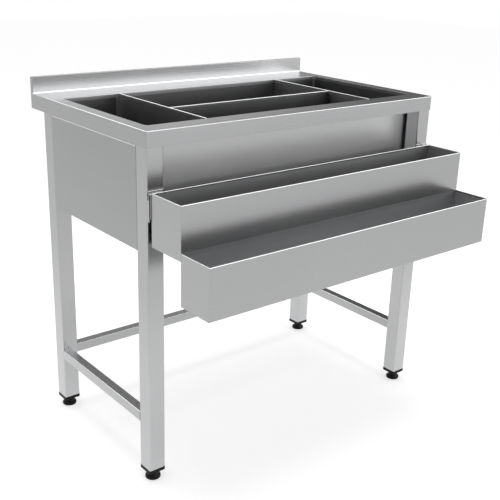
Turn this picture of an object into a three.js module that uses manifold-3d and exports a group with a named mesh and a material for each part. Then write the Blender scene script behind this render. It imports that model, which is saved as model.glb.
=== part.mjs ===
// Steel service station: a worktop with a divided well on four square legs, and a two-tier
// bottle rail hung in front of the front legs. Millimetres, +Z up, front towards -Y,
// standing on Z = 0 with the middle of its footprint at the origin.
import * as THREE from 'three';
import { mergeVertices } from 'three/addons/utils/BufferGeometryUtils.js';
import Module from 'manifold-3d';

const wasm = await Module();
wasm.setup();

// Worktop: a folded sheet with a skirt all round and a splashback along the rear edge.
const TOP_WIDTH = 920;
const TOP_DEPTH = 552;
const TOP_HEIGHT = 869.5;
const TOP_SHEET = 1.2;
const SKIRT_HEIGHT = 38;
const SPLASH_HEIGHT = 42;
const SPLASH_THICKNESS = 12;
const SPLASH_FILLET = 8;

// Legs: square tubes standing inside the skirt.
const LEG_SIZE = 43.5;
const LEG_WALL = 1.5;
const LEG_CORNER = 3;

// Well: a tub welded to the turned-down lip of the worktop's opening.
const SIDE_RIM = 33;
const REAR_LEDGE = 113.5;
const LEG_TO_WELL = 5.6;
const WELL_DEPTH = 240;
const WELL_LIP = 10;
const WELL_CORNER = 10;
const TUB_SHEET = 1.2;
const REAR_LEG_GAP = 0.5;

// Dividers: loose folded sheets standing on the tub's floor.
const SIDE_DIVIDER_X = 264.5;
const FRONT_CELL_DEPTH = 154;
const DIVIDER_SHEET = 1.2;
const DIVIDER_FLANGE = 12;
const DIVIDER_HEM = 3;
const DIVIDER_HEM_DEPTH = 8;
const DIVIDER_PLAY = 0.6;
const DIVIDER_TOP_RISE = 1;
const NOTCH_WIDTH = 40;
const NOTCH_HEIGHT = 10;

// Drain outlet in the floor of the rear middle cell.
const DRAIN_FLANGE_RADIUS = 32;
const DRAIN_FLANGE_HEIGHT = 4;
const DRAIN_NECK_RADIUS = 22;
const DRAIN_NECK_LENGTH = 46;
const DRAIN_BORE_RADIUS = 17;
const STRAINER_RADIUS = 26.6;
const STRAINER_THICKNESS = 1.5;
const STRAINER_HOLE_RADIUS = 3.2;
const STRAINER_HOLE_CIRCLE = 11;
const STRAINER_HOLES = 8;
const DRAIN_NUT_RADIUS = 31;
const DRAIN_NUT_HEIGHT = 9;

// Side panels: shallow pans between the front and rear legs.
const PANEL_HEIGHT = 237;
const PANEL_SHEET = 1.2;
const PANEL_RETURN = 18;
const PANEL_GAP = 3;

// Low stretchers: rectangular tubes flush with the outer faces of the legs.
const STRETCHER_BOTTOM = 153.5;
const STRETCHER_HEIGHT = 26;
const STRETCHER_WIDTH = 25;
const STRETCHER_WALL = 1.5;

// Levelling feet: a square plug in each leg, a screw in the plug and a pad on the screw.
const PAD_HEIGHT = 23.7;
const PAD_RADIUS = 19;
const PAD_EDGE = 1.5;
const PAD_RIM = 6;
const PAD_NECK_RADIUS = 12;
const PAD_CONE_TOP = 13;
const PAD_SOCKET_FLOOR = 8;
const PLUG_FLANGE = 8.5;
const PLUG_PROUD = 0.6;
const PLUG_INSERT = 18;
const SCREW_RADIUS = 5;
const SCREW_LENGTH = 50;
const SCREW_HEAD_RADIUS = 8;
const SCREW_HEAD_HEIGHT = 8;

// Bottle rail: an upper tray and a lower tray welded to its front.
const RAIL_INSET = 5.5;
const RAIL_DROP = 133;
const RAIL_SHEET = 1.2;
const UPPER_DEPTH = 112;
const UPPER_HEIGHT = 123;
const LOWER_DEPTH = 101.5;
const LOWER_HEIGHT = 120.5;
const RAIL_LAP = 19;
const RAIL_HEM = 3;
const RAIL_HEM_DEPTH = 10;

// Hangers: hooks on the rail's back drop over the lips of brackets on the front legs.
const HANGER_SHEET = 1.5;
const HANGER_PLAY = 1.5;
const HANGER_SIDE_PLAY = 0.5;
const HOOK_DROP = 3;
const HOOK_TAIL = 56;
const BRACKET_HEIGHT = 50;
const BRACKET_BACK_RISE = 1.5;
const BRACKET_FLOOR_GAP = 6;
const BUMPER_RADIUS = 8;
const BUMPER_RISE = 24;

// Clearances and facets.
const SEAT = 0.3;
const OVERRUN = 5;
const ARC_STEPS = 4;
const ROUND_STEPS = 24;

// Places that follow from the sizes above, measured from the worktop's front face.
const topHalf = TOP_WIDTH / 2;
const skirtBottom = TOP_HEIGHT - SKIRT_HEIGHT;
const sheetUnder = TOP_HEIGHT - TOP_SHEET;
const legOuterX = topHalf - TOP_SHEET;
const legInnerX = legOuterX - LEG_SIZE;
const frontLegFront = TOP_SHEET;
const frontLegRear = frontLegFront + LEG_SIZE;
const wellHalf = topHalf - SIDE_RIM;
const wellFront = frontLegRear + LEG_TO_WELL + TUB_SHEET;
const wellRear = TOP_DEPTH - REAR_LEDGE;
const tubFloor = TOP_HEIGHT - WELL_DEPTH;
const rearLegFront = wellRear + TUB_SHEET + REAR_LEG_GAP;
const rearLegRear = rearLegFront + LEG_SIZE;
const dividerBottom = tubFloor + SEAT;
const dividerTop = TOP_HEIGHT + DIVIDER_TOP_RISE;
const dividerHeight = dividerTop - dividerBottom;
const middleDividerY = wellFront + FRONT_CELL_DEPTH;
const drainY = (middleDividerY + wellRear) / 2;
const legBottom = PAD_HEIGHT + SEAT + PLUG_FLANGE;
const railStandoff = 4 * HANGER_SHEET + 3 * HANGER_PLAY;
const hookWidth = LEG_SIZE - 2 * (HANGER_SHEET + HANGER_SIDE_PLAY);
const railHalf = topHalf - RAIL_INSET;
const upperRear = frontLegFront - railStandoff;
const upperFront = upperRear - UPPER_DEPTH;
const upperTop = TOP_HEIGHT - RAIL_DROP;
const upperBottom = upperTop - UPPER_HEIGHT;
const lowerFront = upperFront - LOWER_DEPTH;
const lowerTop = upperBottom + RAIL_LAP;
const lowerBottom = lowerTop - LOWER_HEIGHT;
const legCentreX = legOuterX - LEG_SIZE / 2;
const frontLegY = frontLegFront + LEG_SIZE / 2;
const rearLegY = rearLegFront + LEG_SIZE / 2;

// Finishes.
const finishes = {
  satinSteel: { color: 0xb9bbbd, roughness: 0.32, metalness: 1 },
  wellSteel: { color: 0x9fa1a3, roughness: 0.38, metalness: 1 },
  zincSteel: { color: 0xa8a69c, roughness: 0.45, metalness: 1 },
  blackPlastic: { color: 0x242425, roughness: 0.55, metalness: 0 },
  blackRubber: { color: 0x1c1c1c, roughness: 0.85, metalness: 0 },
};

function named(name, geometry, finish) {
  const mesh = new THREE.Mesh(geometry, new THREE.MeshStandardMaterial(finishes[finish]));
  mesh.name = name;
  return mesh;
}

// Booleans between closed geometries.
function toSolid(geometry) {
  const bare = geometry.clone();
  bare.deleteAttribute('normal');
  bare.deleteAttribute('uv');
  const merged = mergeVertices(bare, 1e-4);
  return new wasm.Manifold(new wasm.Mesh({
    numProp: 3,
    vertProperties: new Float32Array(merged.attributes.position.array),
    triVerts: new Uint32Array(merged.index.array),
  }));
}

function toGeometry(solid) {
  const mesh = solid.getMesh();
  const geometry = new THREE.BufferGeometry();
  geometry.setAttribute('position', new THREE.BufferAttribute(new Float32Array(mesh.vertProperties), 3));
  geometry.setIndex(new THREE.BufferAttribute(new Uint32Array(mesh.triVerts), 1));
  geometry.computeVertexNormals();
  return geometry;
}

function join(first, ...others) {
  return toGeometry(others.reduce((solid, other) => solid.add(toSolid(other)), toSolid(first)));
}

function cut(first, ...others) {
  return toGeometry(others.reduce((solid, other) => solid.subtract(toSolid(other)), toSolid(first)));
}

// A box between two values on each axis, given in either order.
function slab(xs, ys, zs) {
  const size = [xs, ys, zs].map(([a, b]) => Math.abs(b - a));
  const centre = [xs, ys, zs].map(([a, b]) => (a + b) / 2);
  return new THREE.BoxGeometry(...size).translate(...centre);
}

function polygon(points) {
  return new THREE.Shape(points.map(([x, y]) => new THREE.Vector2(x, y)));
}

function extrude(shape, depth) {
  return new THREE.ExtrudeGeometry(shape, { depth, bevelEnabled: false, curveSegments: ARC_STEPS });
}

const axisX = new THREE.Vector3(1, 0, 0);
const axisY = new THREE.Vector3(0, 1, 0);
const axisZ = new THREE.Vector3(0, 0, 1);

// A (Y, Z) outline extruded from x0 to x1.
function extrudeAlongX(shape, x0, x1) {
  const turn = new THREE.Matrix4().makeBasis(axisY, axisZ, axisX);
  return extrude(shape, x1 - x0).applyMatrix4(turn).translate(x0, 0, 0);
}

// An (X, Z) outline extruded from y0 to y1.
function extrudeAlongY(shape, y0, y1) {
  const turn = new THREE.Matrix4().makeBasis(axisX, axisZ, axisY.clone().negate());
  return extrude(shape, y1 - y0).applyMatrix4(turn).translate(0, y1, 0);
}

function lathe(points) {
  const profile = points.map(([radius, z]) => new THREE.Vector2(radius, z));
  return new THREE.LatheGeometry(profile, ROUND_STEPS).rotateX(Math.PI / 2);
}

function circlePath(radius, x = 0, y = 0) {
  const path = new THREE.Path();
  path.absarc(x, y, radius, 0, 2 * Math.PI, true);
  return path;
}

// A rectangle with rounded corners, centred on the origin.
function roundedRectangle(width, depth, radius, Outline = THREE.Shape) {
  const x = width / 2 - radius;
  const y = depth / 2 - radius;
  const outline = new Outline();
  outline.moveTo(width / 2, -y);
  outline.absarc(x, y, radius, 0, Math.PI / 2, false);
  outline.absarc(-x, y, radius, Math.PI / 2, Math.PI, false);
  outline.absarc(-x, -y, radius, Math.PI, 1.5 * Math.PI, false);
  outline.absarc(x, -y, radius, 1.5 * Math.PI, 2 * Math.PI, false);
  return outline;
}

function roundedSquare(side, radius, Outline = THREE.Shape) {
  return roundedRectangle(side, side, radius, Outline);
}

// A block of the well's outline, grown outwards by the given amount.
function wellBlock(grow, zs) {
  const outline = roundedRectangle(
    2 * (wellHalf + grow), wellRear - wellFront + 2 * grow, WELL_CORNER + grow);
  return extrude(outline, zs[1] - zs[0]).translate(0, (wellFront + wellRear) / 2, zs[0]);
}

// The worktop is the outer envelope hollowed from below, with the well's opening cut through.
function worktop() {
  const splashFront = TOP_DEPTH - SPLASH_THICKNESS;
  const splashTop = TOP_HEIGHT + SPLASH_HEIGHT;
  const across = [-topHalf, topHalf];
  const inside = [-topHalf + TOP_SHEET, topHalf - TOP_SHEET];
  const fillet = polygon([
    [splashFront - SPLASH_FILLET, sheetUnder],
    [splashFront + TOP_SHEET, sheetUnder],
    [splashFront + TOP_SHEET, TOP_HEIGHT + SPLASH_FILLET],
    [splashFront, TOP_HEIGHT + SPLASH_FILLET],
  ]);
  fillet.absarc(splashFront - SPLASH_FILLET, TOP_HEIGHT + SPLASH_FILLET, SPLASH_FILLET,
    0, -Math.PI / 2, true);
  const envelope = join(
    slab(across, [0, TOP_DEPTH], [skirtBottom, TOP_HEIGHT]),
    slab(across, [splashFront, TOP_DEPTH], [skirtBottom, splashTop]),
    extrudeAlongX(fillet, ...across),
  );
  const folded = cut(
    envelope,
    slab(inside, [TOP_SHEET, TOP_DEPTH - TOP_SHEET], [skirtBottom - OVERRUN, sheetUnder]),
    slab(inside, [splashFront + TOP_SHEET, TOP_DEPTH - TOP_SHEET], [skirtBottom, splashTop - TOP_SHEET]),
  );
  const lip = wellBlock(TUB_SHEET, [TOP_HEIGHT - WELL_LIP, TOP_HEIGHT]);
  const opening = wellBlock(0, [skirtBottom - OVERRUN, TOP_HEIGHT + OVERRUN]);
  return named('worktop', cut(join(folded, lip), opening), 'satinSteel');
}

function wellTub() {
  const top = TOP_HEIGHT - WELL_LIP;
  const outer = wellBlock(TUB_SHEET, [tubFloor - TUB_SHEET, top]);
  const inner = wellBlock(0, [tubFloor, top + OVERRUN]);
  const hole = new THREE.CylinderGeometry(
    DRAIN_NECK_RADIUS + SEAT, DRAIN_NECK_RADIUS + SEAT, 2 * OVERRUN, ROUND_STEPS);
  hole.rotateX(Math.PI / 2).translate(0, drainY, tubFloor);
  return named('well_tub', cut(outer, inner, hole), 'wellSteel');
}

// Outline of a divider's end flange: its top is mitred down from the fold.
function flangeOutline(fold, side) {
  const edge = fold + side * DIVIDER_FLANGE;
  return polygon([
    [fold, dividerBottom],
    [edge, dividerBottom],
    [edge, dividerTop - DIVIDER_FLANGE],
    [fold, dividerTop],
  ]);
}

// A side divider runs front to rear, with its flanges and hem turned outwards.
function sideDivider(name, side) {
  const face = side * SIDE_DIVIDER_X;
  const ys = [wellFront + DIVIDER_PLAY, wellRear - DIVIDER_PLAY];
  const middle = (ys[0] + ys[1]) / 2;
  const outline = flangeOutline(face, side);
  const plate = join(
    slab([face, face + side * DIVIDER_SHEET], ys, [dividerBottom, dividerTop]),
    slab([face, face + side * DIVIDER_HEM], ys, [dividerTop - DIVIDER_HEM_DEPTH, dividerTop]),
    extrudeAlongY(outline, ys[0], ys[0] + DIVIDER_SHEET),
    extrudeAlongY(outline, ys[1] - DIVIDER_SHEET, ys[1]),
  );
  const notch = slab(
    [face - side * OVERRUN, face + side * OVERRUN],
    [middle - NOTCH_WIDTH / 2, middle + NOTCH_WIDTH / 2],
    [dividerBottom - OVERRUN, dividerBottom + NOTCH_HEIGHT],
  );
  return named(name, cut(plate, notch), 'wellSteel');
}

// The middle divider runs between the side dividers, with its flanges and hem turned to the front.
function middleDivider() {
  const end = SIDE_DIVIDER_X - DIVIDER_PLAY;
  const xs = [-end, end];
  const rear = middleDividerY + DIVIDER_SHEET;
  const outline = flangeOutline(rear, -1);
  const plate = join(
    slab(xs, [middleDividerY, rear], [dividerBottom, dividerTop]),
    slab(xs, [rear - DIVIDER_HEM, rear], [dividerTop - DIVIDER_HEM_DEPTH, dividerTop]),
    extrudeAlongX(outline, -end, -end + DIVIDER_SHEET),
    extrudeAlongX(outline, end - DIVIDER_SHEET, end),
  );
  const notch = slab(
    [-NOTCH_WIDTH / 2, NOTCH_WIDTH / 2],
    [middleDividerY - OVERRUN, rear + OVERRUN],
    [dividerBottom - OVERRUN, dividerBottom + NOTCH_HEIGHT],
  );
  return named('divider_middle', cut(plate, notch), 'wellSteel');
}

// The outlet's flange lies on the tub's floor and its nut draws up from below.
function drain() {
  const group = new THREE.Group();
  group.position.set(0, drainY, tubFloor);
  const flangeTop = DRAIN_FLANGE_HEIGHT;
  const ledge = flangeTop - STRAINER_THICKNESS;
  const recess = STRAINER_RADIUS + SEAT;
  const outlet = lathe([
    [DRAIN_BORE_RADIUS, -DRAIN_NECK_LENGTH],
    [DRAIN_NECK_RADIUS, -DRAIN_NECK_LENGTH],
    [DRAIN_NECK_RADIUS, 0],
    [DRAIN_FLANGE_RADIUS, 0],
    [DRAIN_FLANGE_RADIUS, ledge],
    [DRAIN_FLANGE_RADIUS - STRAINER_THICKNESS, flangeTop],
    [recess, flangeTop],
    [recess, ledge],
    [DRAIN_BORE_RADIUS, ledge],
    [DRAIN_BORE_RADIUS, -DRAIN_NECK_LENGTH],
  ]);
  const disc = new THREE.Shape();
  disc.absarc(0, 0, STRAINER_RADIUS, 0, 2 * Math.PI, false);
  disc.holes.push(circlePath(STRAINER_HOLE_RADIUS));
  for (let index = 0; index < STRAINER_HOLES; index += 1) {
    const angle = (index / STRAINER_HOLES) * 2 * Math.PI;
    const x = STRAINER_HOLE_CIRCLE * Math.cos(angle);
    const y = STRAINER_HOLE_CIRCLE * Math.sin(angle);
    disc.holes.push(circlePath(STRAINER_HOLE_RADIUS, x, y));
  }
  const strainer = new THREE.ExtrudeGeometry(disc, {
    depth: STRAINER_THICKNESS, bevelEnabled: false, curveSegments: ROUND_STEPS / 2,
  });
  const hexagon = polygon(Array.from({ length: 6 }, (_, corner) => [
    DRAIN_NUT_RADIUS * Math.cos(corner * Math.PI / 3),
    DRAIN_NUT_RADIUS * Math.sin(corner * Math.PI / 3),
  ]));
  hexagon.holes.push(circlePath(DRAIN_NECK_RADIUS + SEAT));
  const nut = new THREE.ExtrudeGeometry(hexagon, {
    depth: DRAIN_NUT_HEIGHT, bevelEnabled: false, curveSegments: ROUND_STEPS,
  });
  group.add(
    named('drain_outlet', outlet, 'zincSteel'),
    named('drain_strainer', strainer.translate(0, 0, ledge), 'satinSteel'),
    named('drain_nut', nut.translate(0, 0, -TUB_SHEET - DRAIN_NUT_HEIGHT), 'zincSteel'),
  );
  return group;
}

// A leg tube with its end plug, levelling screw and pad, centred on the leg's axis.
function leg(place, x, y) {
  const group = new THREE.Group();
  group.position.set(x, y, 0);
  const bore = LEG_SIZE - 2 * LEG_WALL;
  const boreCorner = LEG_CORNER - LEG_WALL;
  const section = roundedSquare(LEG_SIZE, LEG_CORNER);
  section.holes.push(roundedSquare(bore, boreCorner, THREE.Path));
  const tube = extrude(section, sheetUnder - legBottom).translate(0, 0, legBottom);
  group.add(
    named(`leg_${place}`, tube, 'satinSteel'),
    named(`leg_plug_${place}`, legPlug(bore, boreCorner), 'blackPlastic'),
    named(`foot_screw_${place}`, footScrew(), 'zincSteel'),
    named(`foot_pad_${place}`, footPad(), 'blackPlastic'),
  );
  return group;
}

function legPlug(bore, boreCorner) {
  const screwHole = SCREW_RADIUS + SEAT;
  const flange = roundedSquare(LEG_SIZE + 2 * PLUG_PROUD, LEG_CORNER + PLUG_PROUD);
  const insert = roundedSquare(bore - 2 * SEAT, boreCorner);
  const body = join(
    extrude(flange, PLUG_FLANGE).translate(0, 0, legBottom - PLUG_FLANGE),
    extrude(insert, PLUG_FLANGE + PLUG_INSERT).translate(0, 0, legBottom - PLUG_FLANGE),
  );
  const hole = new THREE.CylinderGeometry(screwHole, screwHole, 4 * PLUG_INSERT, ROUND_STEPS);
  return cut(body, hole.rotateX(Math.PI / 2).translate(0, 0, legBottom));
}

function footScrew() {
  const bottom = PAD_SOCKET_FLOOR + SEAT;
  const shoulder = bottom + SCREW_HEAD_HEIGHT;
  const tip = bottom + SCREW_LENGTH;
  return lathe([
    [0, bottom],
    [SCREW_HEAD_RADIUS, bottom],
    [SCREW_HEAD_RADIUS, shoulder],
    [SCREW_RADIUS, shoulder],
    [SCREW_RADIUS, tip],
    [0, tip],
  ]);
}

function footPad() {
  const socket = SCREW_HEAD_RADIUS + SEAT;
  return lathe([
    [0, 0],
    [PAD_RADIUS - PAD_EDGE, 0],
    [PAD_RADIUS, PAD_EDGE],
    [PAD_RADIUS, PAD_RIM],
    [PAD_RADIUS - PAD_EDGE, PAD_RIM + PAD_EDGE],
    [PAD_NECK_RADIUS, PAD_CONE_TOP],
    [PAD_NECK_RADIUS, PAD_HEIGHT],
    [socket, PAD_HEIGHT],
    [socket, PAD_SOCKET_FLOOR],
    [0, PAD_SOCKET_FLOOR],
  ]);
}

// A side panel is a pan open to the inside, flush with the legs it stands between.
function sidePanel(name, side) {
  const top = skirtBottom - PANEL_GAP;
  const bottom = top - PANEL_HEIGHT;
  const outer = side * legOuterX;
  const ys = [frontLegRear, rearLegFront];
  const pan = slab([outer, outer - side * PANEL_RETURN], ys, [bottom, top]);
  const hollow = slab(
    [outer - side * PANEL_SHEET, outer - side * (PANEL_RETURN + OVERRUN)],
    [ys[0] + PANEL_SHEET, ys[1] - PANEL_SHEET],
    [bottom + PANEL_SHEET, top - PANEL_SHEET],
  );
  return named(name, cut(pan, hollow), 'satinSteel');
}

// A rectangular tube section, given by its width and centred on the origin.
function stretcherSection() {
  const section = (width, height) => [
    [-width / 2, -height / 2],
    [width / 2, -height / 2],
    [width / 2, height / 2],
    [-width / 2, height / 2],
  ];
  const outline = polygon(section(STRETCHER_WIDTH, STRETCHER_HEIGHT));
  const hollow = section(STRETCHER_WIDTH - 2 * STRETCHER_WALL, STRETCHER_HEIGHT - 2 * STRETCHER_WALL);
  outline.holes.push(new THREE.Path(hollow.map(([x, y]) => new THREE.Vector2(x, y))));
  return outline;
}

function stretchers() {
  const level = STRETCHER_BOTTOM + STRETCHER_HEIGHT / 2;
  const group = new THREE.Group();
  for (const [place, side] of [['left', -1], ['right', 1]]) {
    const tube = extrudeAlongY(stretcherSection(), frontLegRear, rearLegFront);
    const mesh = named(`stretcher_${place}`, tube, 'satinSteel');
    mesh.position.set(side * (legOuterX - STRETCHER_WIDTH / 2), 0, level);
    group.add(mesh);
  }
  const rear = named('stretcher_rear', extrudeAlongX(stretcherSection(), -legInnerX, legInnerX), 'satinSteel');
  rear.position.set(0, rearLegRear - STRETCHER_WIDTH / 2, level);
  group.add(rear);
  return group;
}

// An open tray of folded sheet, its top edge hemmed to the inside.
function tray(name, ys, zs) {
  const hollow = (wall, bottom, top) => slab(
    [-railHalf + wall, railHalf - wall],
    [ys[0] + wall, ys[1] - wall],
    [bottom, top],
  );
  const outer = slab([-railHalf, railHalf], ys, zs);
  const body = hollow(RAIL_SHEET, zs[0] + RAIL_SHEET, zs[1] - RAIL_HEM_DEPTH);
  const mouth = hollow(RAIL_HEM, zs[0] + RAIL_SHEET, zs[1] + OVERRUN);
  return named(name, cut(outer, body, mouth), 'satinSteel');
}

// A hook welded to the rail's back: up, over the bracket's lip and down into its pocket.
function railHook() {
  const back = upperRear;
  const tailFront = back + 2 * (HANGER_SHEET + HANGER_PLAY);
  const crown = upperTop - HOOK_DROP;
  const tailBottom = crown - HOOK_TAIL;
  return extrudeAlongX(polygon([
    [back, tailBottom],
    [back + HANGER_SHEET, tailBottom],
    [back + HANGER_SHEET, crown - HANGER_SHEET],
    [tailFront, crown - HANGER_SHEET],
    [tailFront, tailBottom],
    [tailFront + HANGER_SHEET, tailBottom],
    [tailFront + HANGER_SHEET, crown],
    [back, crown],
  ]), -hookWidth / 2, hookWidth / 2);
}

// The bracket on the leg: a pocket with a front lip that carries the hook and a tall back.
function hangerBracket() {
  const lipTop = upperTop - HOOK_DROP - HANGER_SHEET - SEAT;
  const bottom = upperTop - HOOK_DROP - HOOK_TAIL - BRACKET_FLOOR_GAP - HANGER_SHEET;
  const cheekTop = bottom + BRACKET_HEIGHT;
  const front = upperRear + HANGER_SHEET + HANGER_PLAY;
  const half = hookWidth / 2 + HANGER_SIDE_PLAY;
  const outer = [-half - HANGER_SHEET, half + HANGER_SHEET];
  const box = slab(outer, [front, frontLegFront], [bottom, cheekTop]);
  const lip = slab(outer, [front, front + HANGER_SHEET], [bottom, lipTop]);
  const pocket = slab(
    [-half, half],
    [front + HANGER_SHEET, frontLegFront - HANGER_SHEET],
    [bottom + HANGER_SHEET, lipTop + OVERRUN],
  );
  const backTop = upperTop + BRACKET_BACK_RISE;
  const back = slab(outer, [frontLegFront - HANGER_SHEET, frontLegFront], [bottom, backTop]);
  return join(cut(box, pocket), lip, back);
}

// A stop on each front leg, below the bracket, keeps the hung rail upright.
function railBumper() {
  const length = railStandoff - SEAT;
  const stop = new THREE.CylinderGeometry(BUMPER_RADIUS, BUMPER_RADIUS, length, ROUND_STEPS);
  return stop.translate(0, frontLegFront - length / 2, upperBottom + BUMPER_RISE);
}

function bottleRail() {
  const group = new THREE.Group();
  group.add(
    tray('upper_rail', [upperFront, upperRear], [upperBottom, upperTop]),
    tray('lower_rail', [lowerFront, upperFront], [lowerBottom, lowerTop]),
  );
  for (const [place, side] of [['left', -1], ['right', 1]]) {
    const hanger = new THREE.Group();
    hanger.position.x = side * legCentreX;
    hanger.add(
      named(`rail_hook_${place}`, railHook(), 'satinSteel'),
      named(`hanger_bracket_${place}`, hangerBracket(), 'satinSteel'),
      named(`rail_bumper_${place}`, railBumper(), 'blackRubber'),
    );
    group.add(hanger);
  }
  return group;
}

const station = new THREE.Group();
station.position.y = -(lowerFront + TOP_DEPTH) / 2;
station.add(
  worktop(),
  wellTub(),
  sideDivider('divider_left', -1),
  sideDivider('divider_right', 1),
  middleDivider(),
  drain(),
  leg('front_left', -legCentreX, frontLegY),
  leg('front_right', legCentreX, frontLegY),
  leg('rear_left', -legCentreX, rearLegY),
  leg('rear_right', legCentreX, rearLegY),
  sidePanel('side_panel_left', -1),
  sidePanel('side_panel_right', 1),
  stretchers(),
  bottleRail(),
);

export default station;
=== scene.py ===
# %% [markdown]
# # A stainless service station for waiters
# A worktop with a divided well stands on four square legs, and a two-tier bottle rail hangs
# in front. The solid model is loaded as a fixed frame. This lesson dresses it: most pieces
# are folded from sheet, so they are modelled as thin surfaces, bent, rounded at the folds
# and then given the thickness of the sheet, in the same order as in a metal shop.

# %% Load the frame
from math import cos, radians, sin

import bmesh
import bpy
from mathutils import Matrix, Vector


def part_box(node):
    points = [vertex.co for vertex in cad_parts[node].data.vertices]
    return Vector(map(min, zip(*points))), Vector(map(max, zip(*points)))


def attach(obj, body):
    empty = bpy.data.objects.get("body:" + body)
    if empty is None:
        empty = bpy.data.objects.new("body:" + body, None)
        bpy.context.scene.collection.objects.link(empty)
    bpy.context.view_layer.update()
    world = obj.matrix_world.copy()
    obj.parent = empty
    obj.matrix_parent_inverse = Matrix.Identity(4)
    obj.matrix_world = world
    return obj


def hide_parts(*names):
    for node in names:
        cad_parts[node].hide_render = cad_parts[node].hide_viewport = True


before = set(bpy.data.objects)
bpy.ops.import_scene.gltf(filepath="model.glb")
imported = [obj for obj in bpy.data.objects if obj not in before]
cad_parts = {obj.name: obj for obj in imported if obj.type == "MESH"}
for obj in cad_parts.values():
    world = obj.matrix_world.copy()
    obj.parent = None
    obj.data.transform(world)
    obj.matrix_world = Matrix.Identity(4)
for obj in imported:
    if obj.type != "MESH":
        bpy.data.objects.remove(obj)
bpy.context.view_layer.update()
bpy.context.scene.view_settings.view_transform = "Standard"

# %% [markdown]
# ## Materials from nodes
# By hand, one adds shader nodes, types numbers into them and draws wires. Three helpers keep
# that short here: one adds a node and fills in its inputs, one works out a sum with a math
# node, and one starts a node group, so that several materials can share an effect.

# %% Node helpers
def add(tree, kind, **values):
    # An underscore stands for the space in an input's name.
    node = tree.nodes.new("ShaderNode" + kind)
    for name, value in values.items():
        node.inputs[name.replace("_", " ")].default_value = value
    return node


def math_node(tree, operation, *terms):
    # Each term is a number or the output of another node.
    node = add(tree, "Math")
    node.operation = operation
    for socket, term in zip(node.inputs, terms):
        if isinstance(term, float):
            socket.default_value = term
        else:
            tree.links.new(term, socket)
    return node.outputs[0]


def shared_effect(name, given, kind, *results):
    # An empty group with one input, a number output for each result, and the place in space.
    group = bpy.data.node_groups.new(name, "ShaderNodeTree")
    group.interface.new_socket(given, in_out="INPUT", socket_type=kind)
    for result in results:
        group.interface.new_socket(result, in_out="OUTPUT", socket_type="NodeSocketFloat")
    inlet = group.nodes.new("NodeGroupInput").outputs[given]
    place = add(group, "TexCoord").outputs["Object"]
    return group, inlet, place, group.nodes.new("NodeGroupOutput")


print("node helpers ready")

# %% [markdown]
# ## The grain of satin steel
# Satin stainless sheet is brushed in one direction. The brushing shows as very fine streaks,
# and over a whole panel the shine drifts a little. Both effects are used by every steel
# finish, so they go into one node group: a noise squeezed along the brushing direction
# gives the streaks, and a broad noise gives the drift. An image texture would do the same,
# but a procedural pattern stays sharp at any distance.

# %% Grain node group
satin_grain, stretch, place, grain_out = shared_effect(
    "satin grain", "Stretch", "NodeSocketVector", "Streaks", "Drift")
wire = satin_grain.links.new
squeeze = add(satin_grain, "Mapping")
streaks = add(satin_grain, "TexNoise", Scale=1.0, Detail=3.0)
drift = add(satin_grain, "TexNoise", Scale=3.5, Detail=2.0)
wire(place, squeeze.inputs["Vector"])
wire(stretch, squeeze.inputs["Scale"])
wire(squeeze.outputs["Vector"], streaks.inputs["Vector"])
wire(place, drift.inputs["Vector"])
wire(streaks.outputs["Fac"], grain_out.inputs["Streaks"])
wire(drift.outputs["Fac"], grain_out.inputs["Drift"])
print("group:", satin_grain.name, "with", len(satin_grain.nodes), "nodes")

# %% [markdown]
# ## Handling marks
# Steel that is wiped every day carries faint scuffs. They are sparse patches, where a
# distorted noise rises through a narrow band, and they only make the reflection a little
# less sharp.

# %% Scuff node group
SCUFF_BAND = (0.56, 0.72)
wiping_scuffs, scuff_size, place, scuffs_out = shared_effect(
    "wiping scuffs", "Size", "NodeSocketFloat", "Scuffs")
wire = wiping_scuffs.links.new
cloud = add(wiping_scuffs, "TexNoise", Detail=5.0, Distortion=1.2)
band = add(wiping_scuffs, "ValToRGB")
for stop, position in zip(band.color_ramp.elements, SCUFF_BAND):
    stop.position = position
wire(place, cloud.inputs["Vector"])
wire(scuff_size, cloud.inputs["Scale"])
wire(cloud.outputs["Fac"], band.inputs["Fac"])
wire(band.outputs["Color"], scuffs_out.inputs["Scuffs"])
print("group:", wiping_scuffs.name, "with", len(wiping_scuffs.nodes), "nodes")

# %% [markdown]
# ## Mixing and scaling
# A finish is never one flat value. A pattern chooses between two close greys and two close
# roughnesses, so one helper mixes two values. Some finishes carry painted light and shade that
# change towards a height, such as the legs' painted reflection of the pale floor near their
# feet, so another scales a colour with the height. The third turns a pattern into a very
# shallow relief, too fine to be modelled.

# %% Mixing helpers
MIX_SOCKETS = {"FLOAT": (2, 3, 0), "RGBA": (6, 7, 2)}
RELIEF_DEPTH = 0.0002


def mixed(tree, kind, factor, low, high):
    # The mix node has separate sockets for numbers and for colours.
    mix = add(tree, "Mix")
    mix.data_type = kind
    first, second, result = MIX_SOCKETS[kind]
    mix.inputs[first].default_value = low
    mix.inputs[second].default_value = high
    tree.links.new(factor, mix.inputs[0])
    return mix.outputs[result]


def brighter_towards(tree, colour, gain, levels):
    # Scales the colour by the gain at the first height, and by one at the second.
    place = add(tree, "TexCoord")
    split = add(tree, "SeparateXYZ")
    share = add(tree, "MapRange",
                From_Min=levels[0], From_Max=levels[1], To_Min=gain, To_Max=1.0)
    scaled = add(tree, "VectorMath")
    scaled.operation = "SCALE"
    tree.links.new(place.outputs["Object"], split.inputs[0])
    tree.links.new(split.outputs["Z"], share.inputs["Value"])
    tree.links.new(colour, scaled.inputs[0])
    tree.links.new(share.outputs["Result"], scaled.inputs["Scale"])
    return scaled.outputs["Vector"]


def relief(tree, height, strength):
    bump = add(tree, "Bump", Strength=strength, Distance=RELIEF_DEPTH)
    tree.links.new(height, bump.inputs["Height"])
    tree.links.new(bump.outputs["Normal"], tree.nodes["Principled BSDF"].inputs["Normal"])


print("mixing helpers ready")
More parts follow.
